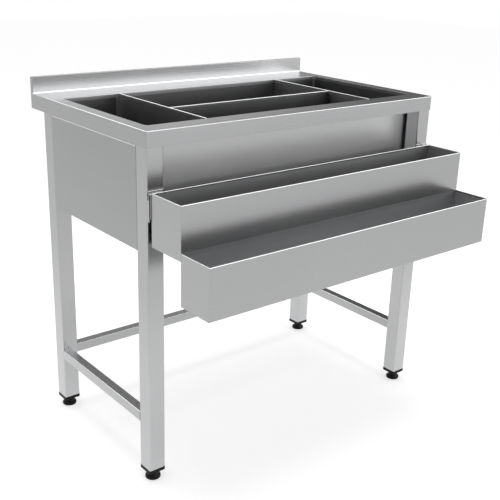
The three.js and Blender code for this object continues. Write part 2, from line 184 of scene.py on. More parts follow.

# %% [markdown]
# ## Steel
# Every sheet and tube is the same steel, so one function builds the material. The streaks
# and the drift together choose the grey and the roughness, the scuffs dull it, and the
# streaks are also the relief. Tone, roughness and brushing direction differ, and a gain
# paints light and shade into the colour, changing with the height.

# %% Steel function
FLOOR_LEVELS = (0.0, 0.5)
STREAK_SHARE = 0.6
DRIFT_SHARE = 0.4
ROUGH_SPREAD = 0.05
SCUFF_SIZE = 9.0
SCUFF_DULLS = 0.012
STREAK_RELIEF = 0.04


def new_finish(name):
    finish = bpy.data.materials.new(name)
    finish.use_nodes = True
    return finish, finish.node_tree, finish.node_tree.nodes["Principled BSDF"]


def effect(tree, group, socket, value):
    node = add(tree, "Group")
    node.node_tree = group
    node.inputs[socket].default_value = value
    return node.outputs


def steel(name, tone, rough, stretch, spread=0.035, gain=1.0, levels=FLOOR_LEVELS):
    finish, tree, surface = new_finish(name)
    surface.inputs["Metallic"].default_value = 1.0
    grain = effect(tree, satin_grain, "Stretch", stretch)
    scuffs = effect(tree, wiping_scuffs, "Size", SCUFF_SIZE)
    drift = math_node(tree, "MULTIPLY", grain["Drift"], DRIFT_SHARE)
    factor = math_node(tree, "MULTIPLY_ADD", grain["Streaks"], STREAK_SHARE, drift)
    dark = [channel - spread / 2 for channel in tone]
    light = [channel + spread / 2 for channel in tone]
    colour = mixed(tree, "RGBA", factor, (*dark, 1.0), (*light, 1.0))
    # Painted light and shade: the colour is scaled with the height.
    if gain > 1.0:
        colour = brighter_towards(tree, colour, gain, levels)
    tree.links.new(colour, surface.inputs["Base Color"])
    sharp = mixed(tree, "FLOAT", factor, rough - ROUGH_SPREAD, rough + ROUGH_SPREAD)
    wiped = math_node(tree, "MULTIPLY_ADD", scuffs["Scuffs"], SCUFF_DULLS, sharp)
    tree.links.new(wiped, surface.inputs["Roughness"])
    relief(tree, grain["Streaks"], STREAK_RELIEF)
    return finish


print("steel function ready")

# %% [markdown]
# The sheets and tubes come in a few tones, set part by part to how bright each one shows, so
# that the differences between them are painted light and shade: the insides of the well and
# the upper tray are darker as painted shade, the lower tray's inside lighter as painted
# light. The insides of well and trays are dull. The stretch says which way a piece is
# brushed: the noise is hardly squeezed along that axis.

# %% Sheet and tube steels
ALONG_X = (4.0, 900.0, 900.0)
ALONG_Y = (900.0, 4.0, 900.0)
ALONG_Z = (900.0, 900.0, 4.0)
UNBRUSHED = (60.0, 60.0, 60.0)
SATIN = 0.26
WIPED = 0.28
SMOOTH = 0.3
BACK = 0.36
DULL = 0.42
MILL = 0.45


def cool(grey):
    # Stainless steel mirrors a little more blue than red.
    return (grey, grey + 0.002, grey + 0.006)


top_steel = steel("satin steel brushed across", cool(0.348), WIPED, ALONG_X)
side_steel = steel("satin steel brushed front to rear", cool(0.31), SATIN, ALONG_Y)
# The legs carry a painted reflection of the pale floor, lighter towards their feet.
leg_steel = steel("satin steel brushed upright", cool(0.38), SATIN, ALONG_Z, gain=1.42)
rod_steel_y = steel("satin tube brushed front to rear", cool(0.45), SATIN, ALONG_Y)
rod_steel_x = steel("satin tube brushed across", cool(0.45), SATIN, ALONG_X)
rail_steel = steel("satin steel of the rail", cool(0.36), SATIN, ALONG_X)
mill_steel = steel("mill finish of the hidden side", cool(0.50), MILL, ALONG_X)
tub_steel = steel("satin steel outside the well", cool(0.43), BACK, ALONG_X)
# Painted shade: the well's inside is far darker than the tub's outside.
well_steel = steel("satin steel of the well", cool(0.188), SMOOTH, ALONG_X)
divider_steel = steel("satin steel of the dividers", cool(0.478), SMOOTH, ALONG_Y)
# Painted shade darkens the upper tray's inside.
upper_inside_shade = steel("dull inside of the upper tray", cool(0.27), DULL, ALONG_X)
# Painted light lightens the lower tray's inside.
lower_inside_light = steel("dull inside of the lower tray", cool(0.58), DULL, ALONG_X)
zinc_steel = steel("dull plated steel", (0.46, 0.45, 0.42), DULL, UNBRUSHED, spread=0.08)
print("steels:", len(bpy.data.materials), "so far")

# %% [markdown]
# Some faces get painted light and shade. Bends and hems get a painted highlight, a lighter
# tone than the sheet. The front legs' inner sides get a rougher mill finish and painted light,
# lighter still towards the top, and the lower tray's rear wall gets painted shade, darker
# towards its rim under the upper tray.

# %% Steels with painted light and shade
INNER_LEVELS = (0.70, 0.58)
SHADED_DEPTHS = (0.045, 0.005)
rim_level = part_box("lower_rail")[1].z
shaded_levels = [rim_level - depth for depth in SHADED_DEPTHS]
# Painted light on the front legs' inner sides, lighter still towards the top.
inner_painted_light_steel = steel("plain inner side of the front legs", cool(0.54), MILL, ALONG_Z,
                    gain=1.75, levels=INNER_LEVELS)
# Painted shade on the lower tray's rear wall inside, darker towards its rim.
rear_painted_shade = steel("dull inside of the lower tray's rear", cool(0.215), DULL, ALONG_X,
                    gain=2.1, levels=shaded_levels)
# Painted highlights for edges, bends and hems.
edge_highlight_steel = steel("bright folded edge", (0.46, 0.46, 0.46), SMOOTH, ALONG_Y)
bend_highlight_steel = steel("bright worn bend of steel", (0.80, 0.80, 0.80), MILL, ALONG_X)
hem_highlight_steel = steel("bright worn hem of steel", (0.48, 0.48, 0.48), SMOOTH, ALONG_X)
print("steels:", len(bpy.data.materials), "in all")

# %% [markdown]
# ## Black plastic and rubber
# The leg plugs and pads are moulded in black plastic with a fine spark-eroded texture, and
# the rail's stops are plain rubber. A small noise breaks up the gloss and dusts the colour.

# %% Plastic materials
DUST_SCALE = 40.0
DUST_GAIN = 1.7
DUST_ADDED = 0.004
GLOSS_SPREAD = 0.08
PIMPLE_RELIEF = 0.15


def moulded(name, tone, rough, shine, pimples):
    finish, tree, surface = new_finish(name)
    surface.inputs["Specular IOR Level"].default_value = shine
    place = add(tree, "TexCoord")
    fine = add(tree, "TexNoise", Scale=pimples, Detail=3.0)
    dust = add(tree, "TexNoise", Scale=DUST_SCALE)
    for noise in (fine, dust):
        tree.links.new(place.outputs["Object"], noise.inputs["Vector"])
    pale = [channel * DUST_GAIN + DUST_ADDED for channel in tone]
    colour = mixed(tree, "RGBA", dust.outputs["Fac"], (*tone, 1.0), (*pale, 1.0))
    tree.links.new(colour, surface.inputs["Base Color"])
    gloss = mixed(tree, "FLOAT", fine.outputs["Fac"], rough - GLOSS_SPREAD, rough + GLOSS_SPREAD)
    tree.links.new(gloss, surface.inputs["Roughness"])
    relief(tree, fine.outputs["Fac"], PIMPLE_RELIEF)
    return finish


black_plastic = moulded(
    "moulded black plastic", (0.007, 0.007, 0.008), rough=0.5, shine=0.15, pimples=2500.0)
black_rubber = moulded(
    "dull black rubber", (0.010, 0.010, 0.010), rough=0.75, shine=0.3, pimples=1200.0)
print("plastics:", black_plastic.name, "and", black_rubber.name)

# %% [markdown]
# ## Small tools for hand modelling
# By hand, one adds a primitive, goes into edit mode, selects by eye and applies operators.
# In a script the selecting is done by place or direction, so a few helpers do that, and the
# rest of the lesson reads like a list of the operators that one would press.

# %% Selecting helpers
NEAR = 2e-5
PARALLEL = 0.999
X, Y, Z = range(3)
MODES = {"verts": "VERT", "edges": "EDGE", "faces": "FACE"}


def near(a, b):
    return abs(a - b) < NEAR


def middle(edge):
    return (edge.verts[0].co + edge.verts[1].co) / 2


def heart(face):
    return face.calc_center_median()


def runs(edge, axis):
    way = edge.verts[1].co - edge.verts[0].co
    return abs(way[axis]) > PARALLEL * way.length


def activate(piece):
    bpy.ops.object.select_all(action="DESELECT")
    piece.select_set(True)
    bpy.context.view_layer.objects.active = piece


def pick(piece, kind, test):
    bpy.ops.object.mode_set(mode="EDIT")
    bpy.ops.mesh.select_mode(type=MODES[kind])
    bpy.ops.mesh.select_all(action="DESELECT")
    shape = bmesh.from_edit_mesh(piece.data)
    chosen = [item for item in getattr(shape, kind) if test(item)]
    for item in chosen:
        item.select_set(True)
    shape.select_flush_mode()
    bmesh.update_edit_mesh(piece.data)
    return len(chosen)


print("selecting helpers ready")

# %% [markdown]
# ## Worktop
# The worktop is one sheet, folded down into a skirt at the front and sides, up and over into
# a low splashback at the rear, and down into a lip around the well. It could be cut from a
# solid block, but a folded surface shows what the real sheet does: round bends that catch the
# light. The flat face is made by bridging the outer edge and the rounded opening.

# %% Worktop face
SHEET = 0.0012
SPLASH_HEIGHT = 0.042
SPLASH_THICKNESS = 0.012
WELL_CORNER = 0.010
CORNER_STEPS = 6
FLAT = radians(1)
top_low, top_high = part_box("worktop")
tub_low, tub_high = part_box("well_tub")
deck = top_high.z - SPLASH_HEIGHT
splash_front = top_high.y - SPLASH_THICKNESS
well_low = tub_low + Vector((SHEET, SHEET, SHEET))
well_high = tub_high - Vector((SHEET, SHEET, 0.0))


def begin(name):
    # Names the new primitive and puts its place, turn and scale into its mesh.
    piece = bpy.context.active_object
    piece.name = name
    bpy.ops.object.transform_apply(location=True, rotation=True, scale=True)
    return piece


def flat_start(name, low, high, z):
    centre = ((low.x + high.x) / 2, (low.y + high.y) / 2, z)
    bpy.ops.mesh.primitive_plane_add(size=1.0, location=centre)
    bpy.context.active_object.scale = (high.x - low.x, high.y - low.y, 1.0)
    return begin(name)


def well_start(name, z):
    # The well's outline with its rounded corners, at the given height.
    piece = flat_start(name, well_low, well_high, z)
    pick(piece, "verts", lambda vert: True)
    bpy.ops.mesh.bevel(offset=WELL_CORNER, segments=CORNER_STEPS, affect="VERTICES")
    return piece


opening = well_start("well_opening", deck)
worktop_end = Vector((top_high.x, splash_front, 0.0))
bpy.ops.object.mode_set(mode="OBJECT")
worktop = flat_start("worktop_sheet", top_low, worktop_end, deck)
for outline in (opening, worktop):
    activate(outline)
    pick(outline, "faces", lambda face: True)
    bpy.ops.mesh.delete(type="ONLY_FACE")
    bpy.ops.object.mode_set(mode="OBJECT")
opening.select_set(True)
bpy.ops.object.join()
pick(worktop, "edges", lambda edge: True)
bpy.ops.mesh.bridge_edge_loops()
bpy.ops.mesh.select_all(action="SELECT")
bpy.ops.mesh.dissolve_limited(angle_limit=FLAT)
print("worktop face:", len(bmesh.from_edit_mesh(worktop.data).edges), "edges before folding")

# %% [markdown]
# The folds come next. The lip and the skirt are extruded downwards, the splashback is
# extruded up, back and down in three steps, and its two ends are filled and merged with the
# skirt, so that the rounding runs cleanly around them.

# %% Worktop folds
WELL_LIP = 0.010
skirt = deck - top_low.z


def extrude(x=0.0, y=0.0, z=0.0):
    bpy.ops.mesh.extrude_region_move(TRANSFORM_OT_translate={"value": (x, y, z)})


def face_along(piece, test, way):
    # Turns the whole surface over if the tested face looks away from the given direction.
    bpy.ops.object.mode_set(mode="EDIT")
    bpy.ops.mesh.select_all(action="SELECT")
    bpy.ops.mesh.normals_make_consistent(inside=False)
    shape = bmesh.from_edit_mesh(piece.data)
    shape.normal_update()
    sample = next(face for face in shape.faces if test(face))
    if sample.normal.dot(Vector(way)) < 0:
        bpy.ops.mesh.flip_normals()


def on_opening(edge):
    spot = middle(edge)
    inside_x = well_low.x - NEAR < spot.x < well_high.x + NEAR
    inside_y = well_low.y - NEAR < spot.y < well_high.y + NEAR
    return inside_x and inside_y


def on_skirt_fold(edge):
    spot = middle(edge)
    at_side = near(abs(spot.x), top_high.x) or near(spot.y, top_low.y)
    return edge.is_boundary and near(spot.z, deck) and at_side


def on_splash_fold(edge):
    spot = middle(edge)
    return near(spot.y, splash_front) and near(spot.z, deck) and runs(edge, X)


pick(worktop, "edges", lambda edge: edge.is_boundary and on_opening(edge))
extrude(z=-WELL_LIP)
pick(worktop, "edges", on_skirt_fold)
extrude(z=-skirt)
pick(worktop, "edges", on_splash_fold)
extrude(z=SPLASH_HEIGHT)
extrude(y=SPLASH_THICKNESS)
extrude(z=-SPLASH_HEIGHT - skirt)
for end_x in (-top_high.x, top_high.x):

    def at_splash_end(edge):
        behind = all(vert.co.y > splash_front - NEAR for vert in edge.verts)
        return behind and edge.is_boundary and all(near(vert.co.x, end_x) for vert in edge.verts)

    def on_seam(edge):
        spot = middle(edge)
        below = spot.z < deck and runs(edge, Z)
        return below and near(spot.x, end_x) and near(spot.y, splash_front)

    pick(worktop, "edges", at_splash_end)
    bpy.ops.mesh.edge_face_add()
    pick(worktop, "edges", on_seam)
    bpy.ops.mesh.dissolve_edges(use_verts=False)
face_along(worktop, lambda face: near(heart(face).z, deck), (0, 0, 1))
print("folded worktop:", len(bmesh.from_edit_mesh(worktop.data).faces), "faces")

# %% [markdown]
# ## From surface to sheet metal
# Three more helpers finish every folded piece. Solidify turns the surface into sheet, brushed
# on the outside and left plain on the inside. Some faces then get a finish of their own. At
# the end the piece is shaded smooth at its bends and flat elsewhere, and told which body of
# the frame it rides on, and the solid that it stands for is hidden.

# %% Finishing helpers
SMOOTH_ANGLE = radians(40)
FLAT_WEIGHT = 100


def thicken(piece, sheet, outside, inside=None):
    bpy.ops.object.mode_set(mode="OBJECT")
    piece.data.materials.append(outside)
    piece.data.materials.append(inside or outside)
    wall = piece.modifiers.new("sheet", "SOLIDIFY")
    wall.thickness = sheet
    wall.offset = -1.0
    wall.use_even_offset = True
    wall.material_offset = 1
    bpy.ops.object.modifier_apply(modifier=wall.name)


def refinish(piece, finish, test):
    # Gives the tested faces a finish of their own, in a new material slot.
    bpy.ops.object.mode_set(mode="OBJECT")
    activate(piece)
    piece.data.materials.append(finish)
    piece.active_material_index = len(piece.data.materials) - 1
    count = pick(piece, "faces", test)
    bpy.ops.object.material_slot_assign()
    bpy.ops.object.mode_set(mode="OBJECT")
    print(piece.name, "has", count, "faces in", finish.name)


def settle(piece, body, slot, *nodes):
    bpy.ops.object.mode_set(mode="OBJECT")
    activate(piece)
    bpy.ops.object.shade_smooth_by_angle(angle=SMOOTH_ANGLE)
    flat = piece.modifiers.new("flat faces stay flat", "WEIGHTED_NORMAL")
    flat.weight = FLAT_WEIGHT
    flat.keep_sharp = True
    bpy.ops.object.modifier_apply(modifier=flat.name)
    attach(piece, body)
    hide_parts(*nodes)
    print(piece.name, "has", len(piece.data.polygons), "faces")


print("finishing helpers ready")

# %% [markdown]
# A press brake leaves a small radius at every fold. The bevel operator rounds them in four
# groups: the hollow bend where the splashback rises, the bends along the skirt, and crisp
# ones on the splashback's top and around the well. The hollow bend gets a painted highlight,
# a much lighter tone than the sheet.

# %% Worktop bends
BEND = 0.0022
SPLASH_BEND = 0.002
CRISP_BEND = 0.0006
LIP_BEND = 0.0008
FOLD_ANGLE = radians(60)
TILTED = 0.05


def round_off(piece, test, radius, steps):
    pick(piece, "edges", test)
    bpy.ops.mesh.bevel(offset=radius, segments=steps, affect="EDGES")


def is_fold(edge):
    return len(edge.link_faces) == 2 and edge.calc_face_angle(0.0) > FOLD_ANGLE


def on_splash_top(edge):
    return is_fold(edge) and middle(edge).z > top_high.z - NEAR


def on_lip(edge):
    hangs_down = any(near(face.normal.z, 0.0) for face in edge.link_faces)
    return is_fold(edge) and hangs_down and on_opening(edge)


def on_skirt(edge):
    return is_fold(edge) and not on_splash_top(edge) and not on_lip(edge)


def in_splash_bend(face):
    in_reach = deck < heart(face).z < deck + SPLASH_BEND
    return in_reach and face.normal.y < -TILTED and face.normal.z > TILTED


round_off(worktop, on_splash_fold, SPLASH_BEND, steps=6)
round_off(worktop, on_skirt, BEND, steps=4)
round_off(worktop, on_splash_top, CRISP_BEND, steps=2)
round_off(worktop, on_lip, LIP_BEND, steps=2)
thicken(worktop, SHEET, top_steel, mill_steel)
# Painted highlight on the hollow bend.
refinish(worktop, bend_highlight_steel, in_splash_bend)
settle(worktop, "frame", "satin_steel", "worktop")
print("worktop box", [round(v, 4) for v in worktop.dimensions])

# %% [markdown]
# ## Well tub
# The tub hangs under the lip. Its rim is drawn as a rounded rectangle and pushed down to the
# floor, as a deep drawing press would do, and the bottom edge gets a generous radius so that
# it can be wiped clean. A round cutter then opens the hole for the drain.

# %% Tub
TUB_BEND = 0.009
NECK_HOLE = 0.0223
DRAIN_SIDES = 48
DRILL_DEPTH = 0.03


def cut_out(piece, test):
    pick(piece, "faces", test)
    bpy.ops.mesh.delete(type="FACE")


def drill(piece, spot):
    # Cuts the drain's hole with a cylinder, which is then thrown away.
    bpy.ops.object.mode_set(mode="OBJECT")
    bpy.ops.mesh.primitive_cylinder_add(
        vertices=DRAIN_SIDES, radius=NECK_HOLE, depth=DRILL_DEPTH, location=spot)
    cutter = bpy.context.active_object
    activate(piece)
    hole = piece.modifiers.new("drain hole", "BOOLEAN")
    hole.operation = "DIFFERENCE"
    hole.object = cutter
    hole.solver = "EXACT"
    bpy.ops.object.modifier_apply(modifier=hole.name)
    bpy.data.objects.remove(cutter)


tub = well_start("well_tub_shell", tub_high.z)
pick(tub, "faces", lambda face: True)
extrude(z=well_low.z - tub_high.z)
cut_out(tub, lambda face: near(heart(face).z, tub_high.z))
face_along(tub, lambda face: near(heart(face).z, well_low.z), (0, 0, 1))
round_off(tub, lambda edge: near(middle(edge).z, well_low.z), TUB_BEND, steps=5)
thicken(tub, SHEET, well_steel, tub_steel)
neck_low, neck_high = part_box("drain_outlet")
neck_centre = (neck_low + neck_high) / 2
drill(tub, (neck_centre.x, neck_centre.y, well_low.z))
settle(tub, "frame", "well_steel", "well_tub")

# %% [markdown]
# ## Dividers
# Three loose sheets split the well into four cells. Each has a folded-over top edge, called a
# hem, so that hands are not cut, and end flanges that keep it upright against its neighbour.
# The flange tops are mitred. All of it is one surface: a plane for the web, extruded edges
# for the flanges and the hem, and moved corners for the mitre.

# %% Divider function
HEM = 0.003
HEM_DEPTH = 0.008
FLANGE = 0.012
FLANGE_BEND = 0.0018
DIVIDER_BEND = 0.00145
DIVIDER_SHEET = 0.0011


def upright_start(name, low, high, axis, place):
    # A plane standing across the given axis, filling the other two extents of the box.
    centre = (low + high) / 2
    centre[axis] = place
    turn = (0.0, radians(90), 0.0) if axis == X else (radians(90), 0.0, 0.0)
    bpy.ops.mesh.primitive_plane_add(size=1.0, location=centre, rotation=turn)
    size = high - low
    scale = (size.z, size.y, 1.0) if axis == X else (size.x, size.z, 1.0)
    bpy.context.active_object.scale = scale
    return begin(name)


def divider_sheet(name, low, high, axis, side, finish):
    # The web stands across the axis; flanges and hem go from it to the given side, 1 or -1.
    along = Y if axis == X else X
    web, tip = (low[axis], high[axis]) if side > 0 else (high[axis], low[axis])
    way = Vector((0.0, 0.0, 0.0))
    way[axis] = side
    piece = upright_start(name, low, high, axis, web)
    pick(piece, "edges", lambda edge: runs(edge, Z))
    extrude(*(way * FLANGE))
    pick(piece, "verts", lambda vert: near(vert.co[axis], tip) and near(vert.co.z, high.z))
    bpy.ops.transform.translate(value=(0, 0, -FLANGE))
    pick(piece, "edges", lambda edge: runs(edge, along) and near(middle(edge).z, high.z))
    extrude(*(way * HEM))
    extrude(z=-HEM_DEPTH)
    face_along(piece, lambda face: near(heart(face)[axis], web), -way)
    round_off(piece, lambda edge: is_fold(edge) and near(middle(edge).z, high.z),
              DIVIDER_BEND, steps=5)
    round_off(piece, lambda edge: is_fold(edge) and runs(edge, Z), FLANGE_BEND, steps=3)
    thicken(piece, DIVIDER_SHEET, finish)
    return piece


print("divider function ready")

# %% [markdown]
# The right divider is folded and then mirrored to the left. The rounded hem and the mitred
# flange ends get a painted highlight, a lighter tone than the web.

# %% Side dividers
def copied(piece, name, shift=(0.0, 0.0, 0.0), mirrored=False):
    bpy.ops.object.mode_set(mode="OBJECT")
    activate(piece)
    bpy.ops.object.duplicate()
    twin = bpy.context.active_object
    twin.name = name
    twin.location = shift
    if mirrored:
        twin.scale.x = -1.0
    bpy.ops.object.transform_apply(location=True, rotation=True, scale=True)
    if mirrored:
        bpy.ops.object.mode_set(mode="EDIT")
        bpy.ops.mesh.select_all(action="SELECT")
        bpy.ops.mesh.normals_make_consistent(inside=False)
        bpy.ops.object.mode_set(mode="OBJECT")
    return twin


right_low, right_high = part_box("divider_right")


def on_divider_edge(face):
    on_hem = heart(face).z > right_high.z - DIVIDER_BEND
    mitred = near(abs(face.normal.z), abs(face.normal.x)) and face.normal.z > TILTED
    return on_hem or (mitred and heart(face).z > right_high.z - 2 * FLANGE)


divider = divider_sheet("divider_right_sheet", right_low, right_high, X, 1, divider_steel)
# Painted highlight on the hem and the mitred flange ends.
refinish(divider, edge_highlight_steel, on_divider_edge)
left_divider = copied(divider, "divider_left_sheet", mirrored=True)
settle(divider, "right_divider", "well_steel", "divider_right")
settle(left_divider, "left_divider", "well_steel", "divider_left")

# %% [markdown]
# The middle divider bridges the two others and runs across. Its flanges and hem turn to the
# front. Its web has the well's dark tone, painted shade for the dark well that it mirrors,
# and its hem a painted highlight.

# %% Middle divider
mid_low, mid_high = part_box("divider_middle")
# The web gets the well's painted shade.
bridge = divider_sheet("divider_middle_sheet", mid_low, mid_high, Y, -1, well_steel)
# Painted highlight on the hem.
refinish(bridge, edge_highlight_steel, lambda face: heart(face).z > mid_high.z - DIVIDER_BEND)
settle(bridge, "middle_divider", "well_steel", "divider_middle")

# %% [markdown]
# ## Legs
# The legs are square tube with rounded corners. A box with its long edges bevelled has the
# right section, and without its end faces Solidify makes it a tube. One leg is modelled and
# copied to the other three corners. Their steel carries a painted reflection of the pale
# floor, lighter towards their feet. The two front legs then get a rougher mill finish with
# painted light, lighter still towards the top, on the sides that look at each other.

# %% Legs
LEG_CORNER = 0.003
LEG_WALL = 0.0015
FACING = 0.99
PLACES = ("front_left", "front_right", "rear_left", "rear_right")


def box_start(name, low, high):
    bpy.ops.mesh.primitive_cube_add(size=1.0, location=(low + high) / 2)
    bpy.context.active_object.scale = high - low
    return begin(name)


def tube(name, node, axis, corner, finish):
    piece = box_start(name, *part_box(node))
    round_off(piece, lambda edge: runs(edge, axis), corner, steps=5)
    cut_out(piece, lambda face: abs(face.normal[axis]) > FACING)
    thicken(piece, LEG_WALL, finish, mill_steel)
    return piece


def at_every_corner(first, kind, body, slot, dress=None):
    # The first piece stands at the front left; the others are copies of it.
    pieces = {PLACES[0]: first}
    for place in PLACES[1:]:
        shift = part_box(f"{kind}_{place}")[0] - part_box(f"{kind}_{PLACES[0]}")[0]
        pieces[place] = copied(first, first.name.replace(PLACES[0], place), shift)
    for place, piece in pieces.items():
        if dress:
            dress(piece, place)
        settle(piece, body.format(place), slot, f"{kind}_{place}")


def plain_inside(leg, place):
    low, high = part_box(f"leg_{place}")
    way, wall = (1.0, high.x) if place.endswith("left") else (-1.0, low.x)

    def looks_inside(face):
        return face.normal.x * way > FACING and near(heart(face).x, wall)

    if place.startswith("front"):
        # Painted light on the inner side.
        refinish(leg, inner_painted_light_steel, looks_inside)


first_leg = tube("leg_tube_front_left", "leg_front_left", Z, LEG_CORNER, leg_steel)
at_every_corner(first_leg, "leg", "frame", "satin_steel", plain_inside)

# %% [markdown]
# ## Leg plugs
# A black plug closes each tube and holds the levelling screw. Its flange is a shallow block
# with rounded corners, standing slightly proud of the tube, and a narrower block is inset
# and extruded up into the tube.

# %% Plugs
PLUG_FLANGE = 0.0085
PLUG_WALL = 0.0024
PLUG_CORNER = 0.0036
PLUG_EDGE = 0.0005
plug_low, plug_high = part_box("leg_plug_front_left")
flange_top = Vector((plug_high.x, plug_high.y, plug_low.z + PLUG_FLANGE))
plug = box_start("leg_end_plug_front_left", plug_low, flange_top)
round_off(plug, lambda edge: runs(edge, Z), PLUG_CORNER, steps=5)
round_off(plug, lambda edge: near(middle(edge).z, plug_low.z), PLUG_EDGE, steps=2)
pick(plug, "faces", lambda face: face.normal.z > FACING)
bpy.ops.mesh.inset(thickness=PLUG_WALL)
extrude(z=plug_high.z - flange_top.z)
plug.data.materials.append(black_plastic)
at_every_corner(plug, "leg_plug", "frame", "black_plastic")

# %% [markdown]
# ## Levelling feet
# A pad is a turned shape. Instead of spinning a profile, its rings are stacked: the top face
# of a short cylinder is extruded and resized again and again, which is how one would build a
# vase by hand. The last steps go inwards and down, and make the socket for the screw.

# %% Pads
PAD_SIDES = 48
PAD_RINGS = [  # radius and height, from the floor up
    (0.0168, 0.0), (0.0183, 0.0006), (0.019, 0.0018), (0.019, 0.0058), (0.0184, 0.0071),
    (0.0168, 0.0083), (0.0148, 0.0096), (0.0132, 0.0112), (0.0122, 0.0131), (0.012, 0.0145),
    (0.012, 0.0228), (0.0114, 0.0237), (0.0088, 0.0237), (0.0083, 0.0232), (0.0083, 0.0081),
]


def turned(name, centre, rings, sides):
    # Stacks the (radius, height) rings, beginning with a cylinder between the first two.
    (radius, low), (_, height) = rings[:2]
    bpy.ops.mesh.primitive_cylinder_add(
        vertices=sides, radius=radius, depth=height - low,
        location=(centre.x, centre.y, (low + height) / 2))
    piece = begin(name)
    pick(piece, "faces", lambda face: face.normal.z > FACING)
    for step, (new_radius, new_height) in enumerate(rings[1:]):
        if step > 0:
            extrude(z=new_height - height)
        share = new_radius / radius
        bpy.ops.transform.resize(
            value=(share, share, 1.0), center_override=(centre.x, centre.y, new_height))
        radius, height = new_radius, new_height
    return piece


pad_low, pad_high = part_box("foot_pad_front_left")
pad_centre = (pad_low + pad_high) / 2
pad = turned("foot_pad_turned_front_left", pad_centre, PAD_RINGS, PAD_SIDES)
pad.data.materials.append(black_plastic)
at_every_corner(pad, "foot_pad", "pad_{}", "black_plastic")

# %% [markdown]
# The screw is stacked in the same way. Its thread is a row of rings, one for each pitch: at
# this size a ring and a helix look alike, and the rings keep the shape closed.

# %% Levelling screws
SCREW_SIDES = 32
PITCH = 0.0015
THREAD_OUTER = 0.0049
THREAD_INNER = 0.0041
CREST = (0.45 * PITCH, 0.55 * PITCH)
TIP_RADIUS = 0.0034
HEAD_RADIUS = 0.008
HEAD_HEIGHT = 0.008
HEAD_EDGE = 0.0006
screw_low, screw_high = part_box("foot_screw_front_left")
level = shoulder = screw_low.z + HEAD_HEIGHT
screw_rings = [
    (HEAD_RADIUS - HEAD_EDGE, screw_low.z), (HEAD_RADIUS, screw_low.z + HEAD_EDGE),
    (HEAD_RADIUS, shoulder - HEAD_EDGE), (HEAD_RADIUS - HEAD_EDGE, shoulder),
    (THREAD_INNER, shoulder),
]
while level + PITCH < screw_high.z - PITCH:
    screw_rings += [(THREAD_OUTER, level + rise) for rise in CREST]
    level += PITCH
    screw_rings.append((THREAD_INNER, level))
screw_rings.append((TIP_RADIUS, screw_high.z))
screw = turned("foot_screw_turned_front_left", pad_centre, screw_rings, SCREW_SIDES)
screw.data.materials.append(zinc_steel)
at_every_corner(screw, "foot_screw", "screw_{}", "zinc_steel")

# %% [markdown]
# ## Side panels
# A side panel is a shallow pan, open to the inside and flush with the legs. A box without
# its inner face, with rounded folds, becomes that pan. It is drawn a little taller than the
# solid, so that only the top bend is left under the skirt, and that bend gets a painted
# highlight, a fine bright line.

# %% Side panels
PAN_RISE = 0.0028
PAN_BEND = 0.0015
PAN_TOP_BEND = 0.0026
pan_low, pan_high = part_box("side_panel_left")
pan_high = pan_high + Vector((0.0, 0.0, PAN_RISE))
pan = box_start("side_panel_left_pan", pan_low, pan_high)
cut_out(pan, lambda face: face.normal.x > FACING)


def settle_pair(piece, body, slot, node):
    # Mirrors the left piece to the right and settles both.
    twin = copied(piece, piece.name.replace("left", "right"), mirrored=True)
    settle(piece, body, slot, f"{node}_left")
    settle(twin, body, slot, f"{node}_right")


def on_pan_top(edge):
    return is_fold(edge) and runs(edge, Y) and near(middle(edge).z, pan_high.z)


def in_pan_bend(face):
    in_reach = heart(face).z > pan_high.z - PAN_TOP_BEND
    return in_reach and face.normal.x < -TILTED and face.normal.z > TILTED


round_off(pan, lambda edge: is_fold(edge) and not on_pan_top(edge), PAN_BEND, steps=3)
round_off(pan, on_pan_top, PAN_TOP_BEND, steps=4)
thicken(pan, SHEET, side_steel, mill_steel)
# Painted highlight on the top bend.
refinish(pan, bend_highlight_steel, in_pan_bend)
settle_pair(pan, "frame", "satin_steel", "side_panel")

# %% [markdown]
# ## Stretchers
# Three low stretchers stiffen the legs: one at each side and one at the rear. They are tube
# too, so the legs' function makes them, along another axis and brushed along their length.

# %% Stretchers
STRETCHER_CORNER = 0.002
RODS = (("left", Y, rod_steel_y), ("right", Y, rod_steel_y), ("rear", X, rod_steel_x))
for place, axis, finish in RODS:
    node = f"stretcher_{place}"
    rod = tube(f"{node}_tube", node, axis, STRETCHER_CORNER, finish)
    settle(rod, "frame", "satin_steel", node)

# %% [markdown]
# ## Bottle rail
# Each tray is a folded box with a hemmed mouth. The box loses its lid, its open edge is
# extruded in place, drawn inwards and turned down, and all folds are rounded. The rounded hem
# gets a painted highlight, the thin bright line along every tray.

# %% Tray functions
TRAY_BEND = 0.0016
TRAY_HEM = 0.003
TRAY_HEM_DEPTH = 0.004
HEM_BEND = 0.0012
HEM_SLOPE = 0.3
MOSTLY = 0.9


def tray_shell(name, node, rear_hem):
    low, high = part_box(node)
    size, centre = high - low, (low + high) / 2
    hems_deep, fixed_y = (2, centre.y) if rear_hem else (1, high.y)
    piece = box_start(name, low, high)
    cut_out(piece, lambda face: face.normal.z > FACING)

    def hemmed(edge):
        spot = middle(edge)
        return near(spot.z, high.z) and (rear_hem or not near(spot.y, high.y))

    def outer_fold(edge):
        spot = middle(edge)
        on_wall = near(abs(spot.x), high.x) or near(spot.y, low.y) or near(spot.y, high.y)
        return on_wall and is_fold(edge)

    pick(piece, "edges", hemmed)
    extrude()
    shares = (1 - 2 * TRAY_HEM / size.x, 1 - hems_deep * TRAY_HEM / size.y, 1.0)
    bpy.ops.transform.resize(value=shares, center_override=(centre.x, fixed_y, high.z))
    extrude(z=-TRAY_HEM_DEPTH)
    face_along(piece, lambda face: near(heart(face).y, low.y), (0, -1, 0))
    round_off(piece, outer_fold, TRAY_BEND, steps=4)
    round_off(piece, lambda edge: near(middle(edge).z, high.z) and is_fold(edge), HEM_BEND, steps=3)
    return piece


